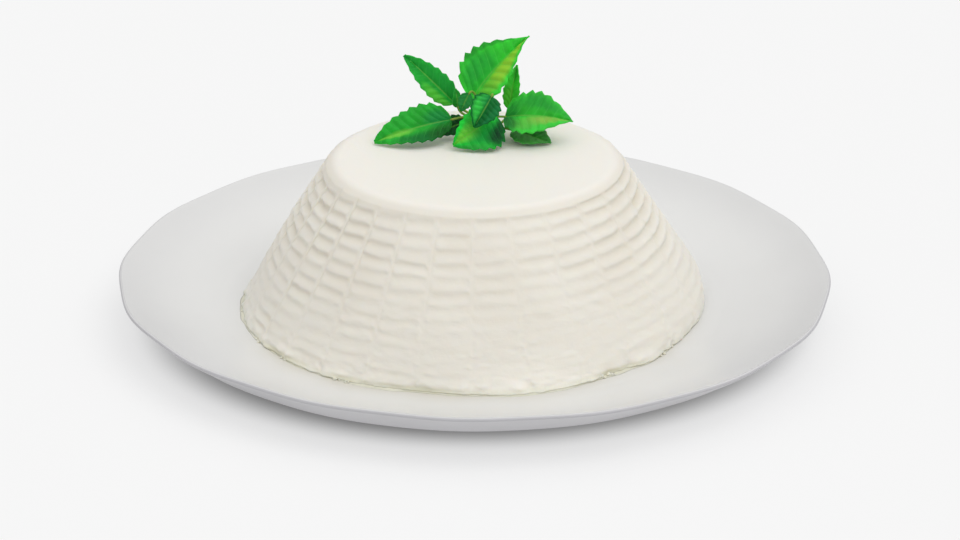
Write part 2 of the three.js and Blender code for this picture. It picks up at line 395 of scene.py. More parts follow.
def cellTable():  # each window of the basket's print, by its column and row
    draw = random.Random(cheese["seed"])
    cells = {}
    for column in range(cheese["ribs"]):
        drop = draw.uniform(*cheese["columnDrop"])
        for row in range(-1, cheese["slots"] + 1):
            cells[column, row] = {name: draw.uniform(*span) for name, span in cheese["cells"].items()}
            cells[column, row]["level"] += row + drop
    return cells


def slotDepth(cells, column, row, place):  # how deep a slot is pressed in
    if not 0 <= row < cheese["slots"]:
        return 0.0
    angle = math.atan2(place.y, place.x)
    sideways = math.cos(angle)
    kept = cheese["faded"] * (1 + cheese["leftKeeps" if sideways < 0 else "rightKeeps"] * sideways ** 2)
    kept *= mix(*cheese["wearUneven"], clamp(0.5 + 1.1 * unevenness(place, cheese["wearSize"], 21)))
    lost = smooth(row, cheese["fadeStart"], cheese["fadeEnd"])
    depth = cheese["slotDepth"] * cells[column, row]["depth"] * mix(1, kept, lost)
    for at, height, wide, tall, strength in cheese["worn"]:
        depth *= 1 - strength * bell(degreesFrom(angle, at), wide) * bell(place.z - height, tall)
    return depth


def printStrength(angle):  # the print is faintest at the front and crispest on the right
    front, right = max(-math.sin(angle), 0), max(math.cos(angle), 0)
    faint = cheese["frontFaint"] * front ** 2 + cheese["frontRightFaint"] * front * right
    return 1 - faint + cheese["rightCrisp"] * right ** 4


def rowsDown(z, angle, place):  # how many rows down from the top one a height is
    foot = smooth(z, wellHeight + 1 * mm, wellHeight + 8 * mm)
    edge = 1 - smooth(z, cheese["slotTop"], cheeseHigh[2])
    climb = cheese["slotClimb"] * math.cos(angle) * foot * edge
    sway = cheese["rowSway"] * noise.noise(Vector((math.cos(angle) * 2.2, math.sin(angle) * 2.2, 1.7)))
    sway += cheese["rowWobble"] * unevenness(place, 6 * mm, 24)
    return (cheese["slotTop"] + climb - z) / cheese["slotPitch"] + sway


def barAt(cells, column, level, slant):  # (the bar at that level, how far down the bar it is)
    def groove(row):
        return cells[column, row]["level"] + cells[column, row]["tilt"] * slant

    row = int(clamp(math.floor(level), -1, cheese["slots"] - 1))
    if level < groove(row) and row > -1:
        row -= 1
    elif row < cheese["slots"] - 1 and level > groove(row + 1):
        row += 1
    return row, clamp((level - groove(row)) / (groove(row + 1) - groove(row)))


def barRelief(cells, column, row, part, place):  # (how far the bar is pressed in, how deep its slots are)
    above, below = (slotDepth(cells, column, row + step, place) for step in (0, 1))
    depth = mix(above, below, part)
    rising, falling = smooth(part, *cheese["barRise"]), smooth(part, *cheese["barFall"])
    bar = rising * (1 - falling)
    puff = cheese["barPuff"] * cells[column, row]["puff"] * (1 + 1.3 * unevenness(place, 3 * mm, 25))
    lean = cheese["barLean"] * (1 - part)
    return above * (1 - rising) + below * falling + (lean - puff) * bar * depth, depth


def printRelief(cells, column, share, z, angle, place):  # (how far the side is pressed in, how deep its recess is, which sets the painted shade there)
    left, right = max(-math.cos(angle), 0), max(math.cos(angle), 0)
    row, part = barAt(cells, column, rowsDown(z, angle, place), 2 * share - 1)
    pressed, depth = barRelief(cells, column, row, part, place)
    width = turn * cheeseSide(z) / cheese["ribs"]
    sway = cheese["ribSway"] * unevenness(place, 14 * mm, 22)
    fromLeft, fromRight = share * width + sway, (1 - share) * width - sway
    half = cheese["ribWidth"] / 2 * (1 - cheese["ribNarrows"] * right)
    inside = smooth(fromLeft + cells[column, row]["left"], half, half + cheese["ribEdge"])
    inside *= smooth(fromRight + cells[column, row]["right"], half, half + cheese["ribEdge"])
    inside = mix(inside, 1, cheese["ribFades"] * right)
    pressed = mix(cheese["ribPress"] * depth, pressed, inside)
    crease = cheese["crease"] * (0.3 * (1 - right) + left)  # deepest on the left, and none on the right
    pressed += crease * depth * bell(fromLeft - half, cheese["creaseWidth"])
    strength = printStrength(angle)
    return pressed * strength, clamp(pressed / cheese["slotDepth"]) * strength


def layered(place, layers):  # unevenness in layers of (height, size, seed)
    return sum(height * unevenness(place, size, seed) for height, size, seed in layers)


def curdLumps(place, outer):  # how far the curd stands out or is torn away
    under, above = cheeseHigh[2] - place.z, place.z - wellHeight
    lump = layered(place, cheese["lumps"])
    lump += layered(place, cheese["sideLumps"]) * smooth(under, 1 * mm, 6 * mm)
    curdy = smooth(under, *cheese["curdsBelow"])
    curdy *= smooth(unevenness(place, cheese["curdSize"], 28), 0.05, 0.5)
    curdy *= 0.5 + 0.5 * smooth(unevenness(place, cheese["curdPatch"], 29), -0.3, 0.3)
    torn = 1 - smooth(above, *cheese["tornBelow"])
    return lump + (cheese["curdHeight"] * curdy + torn * layered(place, cheese["tears"])) * outer


def footSoak(angle, place):  # how far the foot is wet with whey and undercut, 0..1, which also sets the painted shade there
    wet = clamp(strengthAt(angle, cheese["soaks"]) * (1 + 0.4 * unevenness(place, 5 * mm, 27)))
    return wet * (1 - smooth((place.z - wellHeight) / cheese["soakHeight"], 0.6, 1.4))


def shapeCheese(bm):
    cells = cellTable()
    hollow, soakedShade = bm.verts.layers.float.new("hollow"), bm.verts.layers.float.new("soakedShade")
    top, low = cheeseHigh[2], wellHeight
    for vert in bm.verts:
        radius, z = math.hypot(vert.co.x, vert.co.y), vert.co.z
        if radius < 1e-6:
            continue
        column, share = columnAt(vert.co)
        angle, whole = columnAngle(column + share), cheeseSide(z)
        outer = smooth(radius / whole, 0.5, 0.95)
        made = radius + (cheeseSide(z, angle) - whole) * outer
        place = around(made, angle, z)
        if radius > whole - 0.3 * mm and z < top - cheese["topEdge"] * 0.4:  # on the side
            pressed, vert[hollow] = printRelief(cells, column, share, z, angle, place)
            made -= pressed * smooth(z, low + 1 * mm, low + 4 * mm)
        skirt = math.exp(-max(z - low, 0) / cheese["flareHeight"]) * (1 + 0.9 * unevenness(place, 5 * mm, 8))
        soak = footSoak(angle, place)
        vert[soakedShade] = soak * outer
        made += (curdLumps(place, outer) + cheese["flare"] * skirt - cheese["undercut"] * soak) * outer
        sink = cheese["sink"] + cheese["sinkUneven"] * unevenness(place, 18 * mm, 6)
        sink *= smooth((z - low) / (top - low), 0.97, 1) * smooth(radius, 0, 8 * mm)
        vert.co = around(made, angle, z - max(sink, 0))


def curdFinish(name):
    finish, paint = Finish(name), palette(cheese)
    place = finish.place()
    height = finish.split(place, "Z")
    patches = finish.noise(place, 30 * mm, 3, 0.55)
    grain = finish.noise(place, 1.3 * mm, 3, 0.6)
    specks = finish.noise(place, 0.45 * mm, 2, 0.5)
    top, low = cheeseHigh[2], wellHeight
    side = finish.blend(finish.ramp(patches, 0.35, 0.7), paint["side"], paint["patch"])
    # painted light: the side is lighter towards the bottom, as if lit from the plate below
    side = finish.blend(finish.ramp(height, low + 30 * mm, low + 6 * mm), side, paint["low"])
    curd = finish.blend(finish.ramp(height, top - 3 * mm, top - 0.5 * mm), side, paint["top"])
    # painted shade along the rounded top edge
    shoulder = finish.ramp(height, top - 5 * mm, top - 3 * mm)
    shoulder *= finish.ramp(height, top - 0.2 * mm, top - 1.4 * mm)
    curd = finish.blend(shoulder * 0.55, curd, paint["shoulder"])
    # painted shade in the print's recesses, which are a little yellower too
    curd = finish.blend(finish.attribute("hollow") * 0.55, curd, paint["hollow"])
    # darker and yellower in the lowest few millimetres: whey, and painted contact shade
    curd = finish.blend(finish.ramp(height, low + 2.4 * mm, low) * 0.5, curd, paint["foot"])
    # painted shade and whey colour where the foot is undercut and wet
    curd = finish.blend(finish.attribute("soakedShade") * 0.75, curd, paint["soakedShade"])
    curd = finish.blend(finish.ramp(grain, 0.58, 0.8) * 0.2, curd, paint["grain"])
    wet, smeared = finish.ramp(height, low + 9 * mm, low), finish.ramp(patches, 0.55, 0.75)
    return finish.close({
        "Base Color": curd, "Roughness": 0.52 + 0.16 * (grain - 0.5) - 0.2 * wet - 0.1 * smeared,
        "IOR": 1.4, "Specular IOR Level": 0.4,
        "Subsurface Weight": 0.4, "Subsurface Radius": (1.0, 0.82, 0.6), "Subsurface Scale": 2.5 * mm,
        "Normal": finish.bump(grain * 0.65 + specks * 0.35, 0.16 * mm, 0.7),
    })


def makeCheese(finish):
    bm = lathe(cheeseOutline(), cheese["ribs"] * cheese["stepsPerRib"])
    shapeCheese(bm)
    bmesh.ops.recalc_face_normals(bm, faces=bm.faces)
    finishPiece(bm, "ricottaCurd", finish, ["ricotta"])


curd = curdFinish("freshCurd")
makeCheese(curd)
print("ricotta made")


crumbs = {
    "seed": 5,
    # Each spread is (count, angle, degrees either side).
    "spread": [(6, -56, 5), (5, -122, 5), (6, -146, 14), (4, -32, 12), (9, 150, 60), (9, 60, 60)],
    "size": (0.5 * mm, 1.2 * mm),
    "smallOnes": 2,  # the higher, the more of them are small
    "reach": 0.7 * mm,
    "closeOnes": 2.5,  # the higher, the more of them lie close to the cheese
    "tucked": 0.7,  # as a share of a crumb's size
    "squash": [(0.8, 1.3), (0.8, 1.2), (0.6, 0.9)],  # least and most along each axis
    "rough": 0.45,
    # how much of the foot's whey colour and painted shade the crumbs take
    "soakedShade": 0.45,
    "bedded": 0.5,  # how much of each one's lower half stays above the plate
}


def makeCrumbs(finish):  # curds that broke off round the base
    draw = random.Random(crumbs["seed"])
    bm = bmesh.new()
    soakedShade = bm.verts.layers.float.new("soakedShade")
    for count, centre, either in crumbs["spread"]:
        for _ in range(count):
            angle = math.radians(centre + draw.triangular(-either, either, 0))
            size = mix(*crumbs["size"], draw.random() ** crumbs["smallOnes"])
            radius = cheeseSide(wellHeight, angle) + cheese["flare"] - crumbs["tucked"] * size
            radius += crumbs["reach"] * draw.random() ** crumbs["closeOnes"]
            made = bmesh.ops.create_icosphere(bm, subdivisions=2, radius=size)["verts"]
            seed = draw.uniform(0, 90)
            squash = Vector([draw.uniform(*span) for span in crumbs["squash"]])
            for vert in made:
                lump = noise.noise(vert.co / size * 0.9 + Vector((seed, 0, 0)))
                vert.co = vert.co * squash * (1 + crumbs["rough"] * lump)
                vert[soakedShade] = crumbs["soakedShade"]
            lift = -min(vert.co.z for vert in made) * crumbs["bedded"]
            bmesh.ops.translate(bm, vec=around(radius, angle, wellHeight + lift), verts=made)
    finishPiece(bm, "curdCrumbs", finish)


makeCrumbs(curd)
print("crumbs made")


whey = {
    "height": 0.55 * mm,
    "sunk": 0.05 * mm,  # into the plate
    # Each point of the section is (distance out from the foot of the cheese, share of the height).
    "section": [(-4 * mm, 0), (-4 * mm, 1), (-1.2 * mm, 0.95), (-0.8 * mm, 0.75), (-0.4 * mm, 0.45),
                (0.1 * mm, 0.2), (0.5 * mm, 0)],
    "stillInside": 2 * mm,  # further under the cheese than this it isn't spread
    "spread": 1.5 * mm,
    "drawnIn": 0.4,  # where there is no pool, as a share of the spread
    "poolReach": 1.1,
    "ragged": 0.5,
    "raggedSize": 7 * mm,
    # Each pool is (angle, degrees either side, strength).
    "pools": [(-108, 14, 0.6), (-52, 6, 0.8), (-80, 12, 0.5), (-136, 8, 0.3), (-172, 16, 0.6),
              (100, 40, 0.5)],
    "steps": 420,
    "colours": {"clear": (224, 222, 203), "milky": (217, 215, 192)},
}


def wheyFinish():
    finish, paint = Finish("whey"), palette(whey)
    cloud = finish.noise(finish.place(), 12 * mm, 2)
    return finish.close({
        "Base Color": finish.blend(finish.ramp(cloud, 0.3, 0.7), paint["clear"], paint["milky"]),
        "Roughness": 0.14 + 0.1 * cloud, "IOR": 1.34,
        "Subsurface Weight": 0.3, "Subsurface Radius": (1, 1, 0.7), "Subsurface Scale": 1 * mm,
        "Normal": finish.bump(cloud, 0.1 * mm, 0.4),
    })


def makeWhey():  # whey has run out where the cheese meets the plate
    base, low = cheeseSide(wellHeight), wellHeight - whey["sunk"]
    outline = [(base + out, low + share * whey["height"]) for out, share in whey["section"]]
    bm = lathe(outline + outline[:1], whey["steps"])
    for vert in bm.verts:
        radius, angle = polar(vert.co)
        pool = whey["poolReach"] * strengthAt(angle, whey["pools"])
        ragged = whey["ragged"] * unevenness(around(radius, angle, wellHeight), whey["raggedSize"], 9)
        spread = whey["spread"] * (pool - whey["drawnIn"] + ragged) + cheese["flare"]
        edge = smooth(radius - base, -whey["stillInside"], 0)
        made = radius + cheeseSide(wellHeight, angle) - base + spread * edge
        vert.co = around(made, angle, vert.co.z)
    bmesh.ops.recalc_face_normals(bm, faces=bm.faces)
    finishPiece(bm, "wheyLine", wheyFinish())


makeWhey()
print("whey made")


plateLow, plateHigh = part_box("plate")

plate = {
    "radius": 135 * mm,
    "well": 92 * mm,
    "foot": 86 * mm,
    "recess": 2.8 * mm,
    "lobes": [(1, 0.4 * mm, 20), (2, 0.6 * mm, -46), (3, 0.95 * mm, -53), (16, 0.45 * mm, -3)],
    "lobesFrom": 108 * mm,
    "lipShade": 0.2,  # how much painted shade greys the glaze towards the lip
    "dampShade": 6 * mm,  # the plate is moist with whey, dulled and darkened with painted contact shade this far from the cheese
    # Each moist and shaded place is (angle, degrees either side, strength).
    "dampest": [(-116, 40, 1.0), (-50, 30, 0.55)],
    "dampUneven": 0.5,
    "steps": 320,
    "stepsPerPoint": 5,
    # The under colour is painted shade, and the olive one beside the cheese partly painted contact shade.
    "colours": {
        "glaze": (226, 226, 225), "cloudy": (223, 223, 222), "under": (190, 189, 192),
        "dampShade": (190, 182, 158), "pit": (196, 194, 188), "bare": (214, 208, 196),
    },
}


def plateOutline():  # worked out in millimetres, and given back in metres
    edge, foot, well, recess = (plate[name] / mm for name in ("radius", "foot", "well", "recess"))
    top, floor, middle = plateHigh[2] / mm, wellHeight / mm, 40
    ring = [(foot - 9, recess), (foot - 6, recess - 0.1), (foot - 4.6, 0.6), (foot - 3.6, 0.02),
            (foot - 2, 0), (foot - 0.5, 0.05), (foot + 0.6, 0.7), (foot + 3, 2.6)]
    under = [(106, 4.8), (118, 7.2), (127, 13.2)]
    lip = [(edge - 1.1, top - 1.9), (edge - 0.15, top - 1.0), (edge - 0.2, top - 0.4),
           (edge - 0.9, top - 0.03), (edge - 1.9, top - 0.3)]
    above = [(126, 16.9), (118, 14.1), (106, 10.4), (98, 8.7), (well, floor), (78, floor)]
    curved = curveThrough(ring + under + lip + above, plate["stepsPerPoint"])
    section = [(0, recess), (middle, recess)] + curved + [(middle, floor), (0, floor)]
    return [(radius * mm, max(height, 0) * mm) for radius, height in section]


def plateFinish():
    finish, paint = Finish("whiteGlaze"), palette(plate)
    place = finish.place()
    height = finish.split(place, "Z")
    cloud = finish.noise(place, 60 * mm, 2)
    peel = finish.noise(place, 7 * mm, 1)
    pits = finish.noise(place, 1.6 * mm, 2)
    bare = finish.ramp(height, 0.5 * mm, 0.15 * mm)  # unglazed ring where it stands
    glaze = finish.blend(finish.ramp(cloud, 0.3, 0.7), paint["glaze"], paint["cloudy"])
    # painted shade on the outer wall, underneath and towards the lip
    glaze = finish.blend(finish.attribute("under"), glaze, paint["under"])
    # moist with whey beside the cheese, darkened there with painted contact shade
    glaze = finish.blend(finish.attribute("dampShade") * 0.6, glaze, paint["dampShade"])
    glaze = finish.blend(finish.ramp(pits, 0.74, 0.8) * 0.2, glaze, paint["pit"])
    return finish.close({
        "Base Color": finish.blend(bare, glaze, paint["bare"]),
        "Roughness": 0.26 + 0.08 * cloud + 0.5 * bare, "IOR": 1.5, "Specular IOR Level": 0.32,
        "Coat Weight": 0.1 - 0.1 * bare, "Coat Roughness": 0.12,
        "Normal": finish.bump(peel + 0.06 * pits, 0.05 * mm, 0.35),
    })


def shadePlate(bm):  # painted shade on the outer wall, underneath and towards the lip; and where whey has wet the plate, with painted contact shade beside the cheese
    under, dampShade = bm.verts.layers.float.new("under"), bm.verts.layers.float.new("dampShade")
    bm.normal_update()
    for vert in bm.verts:
        radius, angle = polar(vert.co)
        outwards = (vert.normal.x * vert.co.x + vert.normal.y * vert.co.y) / max(radius, mm)
        lip = plate["lipShade"] * smooth(radius, plate["lobesFrom"], 0.98 * plate["radius"])
        vert[under] = max(smooth(outwards, 0.1, 0.7), smooth(-vert.normal.z, 0, 0.3), lip)
        away = max(radius - cheeseSide(wellHeight, angle), 0)
        moist = strengthAt(angle, plate["dampest"])
        moist *= 1 + plate["dampUneven"] * unevenness(vert.co, 14 * mm, 31)
        vert[dampShade] = clamp(moist) * math.exp(-away / plate["dampShade"]) * (vert.co.z > wellHeight - 0.1 * mm)


def makePlate():
    bm = lathe(plateOutline(), plate["steps"])
    for vert in bm.verts:
        radius, angle = polar(vert.co)
        if radius > 1e-6:
            made = radius + waves(plate["lobes"], angle) * smooth(radius, plate["lobesFrom"], plate["radius"])
            vert.co = around(made, angle, vert.co.z)
    for axis in range(2):  # no wider than the solid
        least, most = (pick(vert.co[axis] for vert in bm.verts) for pick in (min, max))
        fit = min(1.0, plateLow[axis] / least, plateHigh[axis] / most)
        bmesh.ops.scale(bm, vec=[fit if k == axis else 1 for k in range(3)], verts=bm.verts)
    bmesh.ops.recalc_face_normals(bm, faces=bm.faces)
    shadePlate(bm)
    finishPiece(bm, "plateGlazed", plateFinish(), ["plate"])


makePlate()
print("plate made")


leafShape = {
    "thickness": 0.42 * mm,
    "leastHalf": 0.4 * mm,  # half the width of its base and tip
    "tooth": 0.08,
    "toothPoint": 2 / 3,  # where in each tooth its point is: it leans forwards
    "rowsPerTooth": 9,
    "columns": 24,
    "veinSweep": 0.3,
    "puff": 0.65 * mm,  # how far the leaf swells between its veins, on the largest one
    "largest": 20,  # the width in millimetres that has the whole puff
    "midrib": 0.7 * mm,
    "waves": 1.3,  # along the leaf's edge
    "dark": 0.8,  # share of the main colour's brightness
    "pale": 0.22,  # how far the veins' colour is from the main one towards the pale grey
    "paleGrey": 210,
    "midribColour": (128, 196, 84),
}

# Places, widths, bows, sweeps and waves are in millimetres, and folds in degrees. A leaf's middle is bowed
# towards its face and swept sideways, a higher taper gives a longer point, and skew widens one half of it.
# The tint patches paint light on the lit parts of a leaf and shade on its shaded parts, together with some of
# its own colour change. Each is (colour, across -1..1, along 0..1, half width, half length, strength).
leaves = {
    "leaf_tall": {
        "base": (-1.4, 26.4, 79), "tip": (20.4, 27.4, 104), "face": (-0.62, -0.75, 0.2), "width": 22,
        "fold": 20, "bow": -1, "sweep": -1.8, "teeth": 8, "taper": 1.2, "wave": 0.8, "skew": -0.1,
        "main": (64, 224, 64), "lightShadeTints": [
            ((158, 210, 54), 0.45, 0.58, 0.5, 0.55, 1.0),
            ((96, 190, 56), 0.5, 0.15, 0.5, 0.3, 0.8),
            ((30, 158, 62), -0.4, 0.3, 0.6, 0.35, 0.7),
            ((24, 128, 44), -0.95, 0.55, 0.2, 0.5, 0.6)],
    },
    "leaf_upper_left": {
        "base": (-8, 26.2, 77.5), "tip": (-27, 29, 95.8), "face": (0.1, -0.9, 0.5), "width": 11,
        "fold": 18, "bow": 1, "sweep": 0, "teeth": 7, "taper": 0.85, "wave": 0.8, "skew": 0,
        "main": (32, 180, 58), "lightShadeTints": [
            ((96, 200, 62), -0.7, 0.26, 0.5, 0.36, 0.85),
            ((24, 146, 56), 0.5, 0.3, 0.6, 0.5, 0.6),
            ((22, 140, 52), 0, 0.95, 1.0, 0.35, 0.6)],
    },
    "leaf_lower_left": {
        "base": (-9, 19, 73.4), "tip": (-38.3, 12.5, 66.8), "face": (-0.1, -0.7, 0.75), "width": 16.5,
        "fold": 18, "bow": 1.2, "sweep": 0.2, "teeth": 8, "taper": 0.85, "wave": 0.8, "skew": 0,
        "main": (40, 184, 54), "lightShadeTints": [
            ((124, 208, 72), -0.12, 0.74, 0.34, 0.32, 0.95),
            ((8, 112, 42), -0.8, 0.4, 0.5, 0.5, 1.0),
            ((20, 136, 74), 0.2, 0.1, 0.7, 0.3, 0.7),
            ((4, 80, 16), -0.7, 0.12, 0.7, 0.3, 0.95)],
    },
    "leaf_front": {
        "base": (7.5, 17.6, 76.1), "tip": (-8.3, 5.6, 68.1), "face": (0.25, -0.75, 0.65), "width": 18,
        "fold": 12, "bow": 1.2, "sweep": -0.4, "teeth": 7, "taper": 0.85, "wave": 0.8, "skew": -0.22,
        "main": (28, 216, 62), "lightShadeTints": [
            ((116, 204, 62), 0.15, 0.72, 0.65, 0.4, 0.95),
            ((64, 182, 66), 0.5, 0.45, 0.5, 0.3, 0.6),
            ((8, 136, 58), -0.4, 0.4, 0.45, 0.5, 0.7),
            ((40, 150, 58), -0.9, 0.85, 0.4, 0.4, 0.8),
            ((0, 54, 28), -0.75, 0.2, 0.5, 0.42, 1.0)],
    },
    "leaf_right": {
        "base": (11.4, 22.2, 73.4), "tip": (36.9, 15, 74.2), "face": (0.05, -0.6, 0.8), "width": 21,
        "fold": 22, "bow": 2, "sweep": 0, "teeth": 7, "taper": 0.9, "wave": 0.8, "skew": 0.1,
        "main": (62, 206, 64), "lightShadeTints": [
            ((138, 190, 78), 0.3, 0.66, 0.4, 0.42, 1.0),
            ((96, 190, 70), 0.55, 0.3, 0.4, 0.35, 0.7),
            ((28, 146, 62), -0.6, 0.6, 0.4, 0.6, 0.5),
            ((24, 132, 56), 0, 0.04, 1.0, 0.22, 0.8),
            ((8, 100, 40), 0.65, 0.06, 0.6, 0.28, 0.9)],
    },
    "leaf_flat": {
        "base": (14.5, 21, 68.3), "tip": (28.7, 12.5, 66.4), "face": (0, -0.2, 0.98), "width": 13.5,
        "fold": 6, "bow": 0.5, "sweep": 0.8, "teeth": 5, "taper": 0.85, "wave": 0.3, "skew": 0,
        "main": (72, 164, 70), "lightShadeTints": [
            ((30, 108, 46), -0.6, 0.3, 0.7, 0.6, 0.8),
            ((96, 180, 84), 0.5, 0.6, 0.5, 0.5, 0.6)],
    },
    "leaf_narrow": {
        "base": (13.2, 28, 74.3), "tip": (16, 31, 91.2), "face": (-0.35, -0.9, 0.1), "width": 6.8,
        "fold": 20, "bow": 0.6, "sweep": 0, "teeth": 6, "taper": 0.85, "wave": 0.3, "skew": 0,
        "main": (70, 210, 62), "lightShadeTints": [
            ((100, 196, 60), -0.3, 0.2, 0.8, 0.4, 0.8),
            ((26, 130, 44), 0.3, 0.9, 0.9, 0.35, 0.7)],
    },
    "leaf_bud_front": {
        "base": (6.2, 14.4, 84.3), "tip": (-0.4, 7, 74.6), "face": (0.1, -0.9, 0.5), "width": 12.5,
        "fold": 26, "bow": 0.8, "sweep": 0, "teeth": 6, "taper": 0.85, "wave": 0.3, "skew": 0,
        # its dark main colour is painted shade on its shaded half, and its first patch painted light on its
        # lit half
        "main": (0, 114, 44), "lightShadeTints": [
            ((58, 206, 76), 0.5, 0.45, 0.5, 0.6, 1.0),
            ((30, 150, 74), 0.3, 0.15, 0.5, 0.3, 0.6),
            ((18, 132, 72), -0.75, 0.5, 0.3, 0.5, 0.5)],
    },
    "leaf_bud_left": {
        "base": (-6.6, 21.4, 77.5), "tip": (-7.6, 21.4, 85), "face": (0.3, -0.9, 0.3), "width": 4.5,
        "fold": 20, "bow": 0.4, "sweep": 0, "teeth": 3, "taper": 0.85, "wave": 0.3, "skew": 0,
        "main": (42, 168, 58), "lightShadeTints": [((54, 156, 66), 0, 0.2, 0.8, 0.4, 0.6)],
    },
    "leaf_centre": {
        "base": (-2.2, 16.8, 84.8), "tip": (-5.4, 16.4, 77.7), "face": (-0.2, -0.9, 0.3), "width": 5.6,
        "fold": 16, "bow": 0.4, "sweep": 0, "teeth": 4, "taper": 0.85, "wave": 0.2, "skew": 0,
        "main": (40, 152, 68), "lightShadeTints": [((44, 152, 70), 0.5, 0.5, 0.5, 0.6, 0.6)],
    },
    "leaf_under": {
        "base": (-3.5, 21.5, 71.5), "tip": (-14.5, 20, 67), "face": (-0.2, -0.6, 0.77), "width": 9,
        "fold": 12, "bow": 0.6, "sweep": 0, "teeth": 5, "taper": 0.85, "wave": 0.3, "skew": 0,
        # this leaf's dark green is painted shade, deep under the other leaves
        "main": (6, 88, 32), "lightShadeTints": [((2, 56, 18), 0, 0.3, 0.8, 0.5, 0.6)],
    },
}


def leafShare(s, taper):  # share of the half width along the leaf
    widest = 0.5 / (0.5 + taper)
    return math.sqrt(s) * (1 - s) ** taper / (math.sqrt(widest) * (1 - widest) ** taper)


def toothShare(s, teeth):  # each tooth grows out slowly and is cut back sharply
    part, point = s * teeth % 1, leafShape["toothPoint"]
    rise = (part / point) ** 0.9 if part < point else ((1 - part) / (1 - point)) ** 1.3
    return leafShape["tooth"] * (1.75 * rise - 0.75)


def veinPhase(s, t, teeth):  # whole numbers on the side veins, which run out to the teeth in a curve
    spread = abs(t)
    return teeth * (s - leafShape["veinSweep"] * (spread * (1.2 - 0.35 * spread) * (1.15 - s)))


def leafFrame(shape):
    base, tip = Vector(shape["base"]) * mm, Vector(shape["tip"]) * mm
    along = (tip - base).normalized()
    face = Vector(shape["face"])
    normal = (face - along * face.dot(along)).normalized()
    across = along.cross(normal)
    crown = (base + tip) / 2 + normal * (2 * shape["bow"] * mm) + across * (2 * shape["sweep"] * mm)
    return base, crown, tip, normal, across


def leafHalf(shape, s, t):  # half the width there, with its teeth
    share = leafShare(s, shape["taper"]) if 0 < s < 1 else 0
    share *= 1 + toothShare(s, shape["teeth"]) * abs(t) ** 3
    skew = shape["skew"] * ((t > 0) - (t < 0))
    return max(shape["width"] / 2 * mm * share * (1 + skew), leafShape["leastHalf"])


def leafPuff(shape, s, t, half):  # how far it swells between its veins
    quilt = 0.5 - 0.5 * math.cos(turn * veinPhase(s, t, shape["teeth"]))  # 0 on a side vein
    quilt *= smooth(abs(t), 0.02, 0.25) * smooth(1 - abs(t), 0, 0.3)
    quilt *= smooth(s, 0, 0.15) * smooth(1 - s, 0, 0.12)
    size = clamp(shape["width"] / leafShape["largest"], 0.2, 1)
    return leafShape["puff"] * size * (quilt - 0.5 * bell(t * half, leafShape["midrib"]))


def leafPoint(shape, s, t):
    base, crown, tip, normal, across = leafFrame(shape)
    spine = base * (1 - s) ** 2 + crown * (2 * s * (1 - s)) + tip * s ** 2
    half, fold = leafHalf(shape, s, t), math.radians(shape["fold"])
    shift = 0.1 if t > 0 else 0.45
    ripple = shape["wave"] * mm * math.sin(turn * (leafShape["waves"] * s + shift)) * t * t
    lift = abs(t) * half * math.sin(fold) + ripple + leafPuff(shape, s, t, half)
    return spine + across * (t * half * math.cos(fold)) + normal * lift


def leafFinish(name, shape):
    finish = Finish(name)
    uv, place = finish.place("UV"), finish.place()
    across, along = finish.split(uv, "X") * 2 - 1, finish.split(uv, "Y")
    spread = abs(across)
    phase = abs(veinPhase(along, across, shape["teeth"]) % 1 - 0.5)  # 0.5 on a side vein
    veins = finish.ramp(phase, 0.4, 0.5) * finish.ramp(spread, 1.0, 0.4, 0.2, 1)
    rib = finish.ramp(spread * shape["width"], 1.3, 0.3)
    net = finish.ramp(finish.cells(place, 0.9 * mm), 0.12, 0.0)
    patches = finish.noise(place, 6 * mm, 3, 0.6)
    fuzz = finish.noise(place, 0.35 * mm, 2, 0.5)
    main = srgb(*shape["main"])
    dark = srgb(*(leafShape["dark"] * c for c in shape["main"]))
    pale = srgb(*(mix(c, leafShape["paleGrey"], leafShape["pale"]) for c in shape["main"]))
    green = finish.blend(finish.ramp(patches, 0.3, 0.7) * 0.7, main, dark)
    uneven = finish.ramp(patches, 0.15, 0.6, 0.65, 1)
    # painted light and painted shade in soft patches on the lit and shaded parts of the leaf, with some of
    # its own colour
    for colour, side, at, wide, long, strength in shape["lightShadeTints"]:
        aside, ahead = (across - side) * (1 / wide), (along - at) * (1 / long)
        near = finish.ramp(aside * aside + ahead * ahead, 1.0, 0.0)
        green = finish.blend(near * uneven * strength, green, srgb(*colour))
    green = finish.blend(veins * 0.3, green, pale)
    green = finish.blend(rib * 0.45, green, srgb(*leafShape["midribColour"]))
    green = finish.blend(net * 0.12, green, dark)
    relief = (1 - net) * 0.5 + fuzz * 0.3 - veins * 0.4
    return finish.close({
        "Base Color": green, "Roughness": 0.46 + 0.16 * patches, "IOR": 1.4, "Specular IOR Level": 0.25,
        "Subsurface Weight": 0.35, "Subsurface Radius": (0.5, 1.0, 0.35), "Subsurface Scale": 1.2 * mm,
        "Normal": finish.bump(relief, 0.1 * mm, 0.6),
    })


def makeLeaf(node, shape):
    bm = bmesh.new()
    bm.loops.layers.uv.new("UVMap")
    rows = shape["teeth"] * leafShape["rowsPerTooth"]
    bmesh.ops.create_grid(bm, x_segments=leafShape["columns"], y_segments=rows, size=1, calc_uvs=True)
    for vert in bm.verts:
        vert.co = leafPoint(shape, clamp((vert.co.y + 1) / 2), clamp(vert.co.x, -1, 1))
    name = node.replace("leaf_", "mint_")
    piece = finishPiece(bm, name, leafFinish(name, shape), [node])
    shell = piece.modifiers.new("thickness", "SOLIDIFY")
    shell.thickness = leafShape["thickness"]
    shell.offset = 0


for node, shape in leaves.items():
    makeLeaf(node, shape)
print("leaves made")


